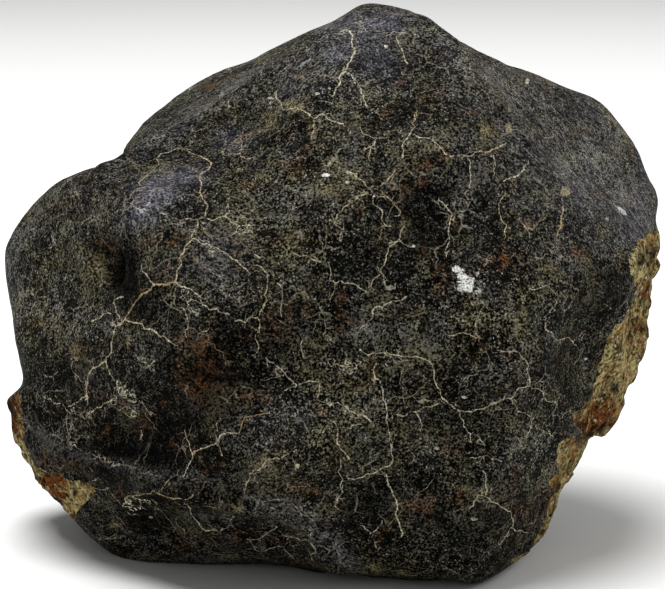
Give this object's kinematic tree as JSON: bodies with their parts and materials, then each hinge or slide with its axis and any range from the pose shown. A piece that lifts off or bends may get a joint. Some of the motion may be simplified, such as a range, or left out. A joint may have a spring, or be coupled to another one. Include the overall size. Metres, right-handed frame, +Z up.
{
  "type": "stony meteorite",
  "caption": "Rounded stony meteorite with a dark melted crust, shallow thumbprint hollows, and pale broken faces on one side and one lower corner, resting on a small flat spot.",
  "frame": {"origin": "on the surface that the stone rests on, below the middle of its bounding box", "axes": "+X along the width, to the right in the picture; +Y through the depth, away from the side pictured; +Z up"},
  "size_m": [0.1326, 0.0938, 0.1073],
  "materials": {
    "fusion_crust": "black-brown melted stone crust, satin and finely granular, with pale contraction cracks, rust stains and pale rough broken faces; a stone, not metal"
  },
  "bodies": {
    "root": {"meteorite": "fusion_crust"}
  },
  "joints": []
}
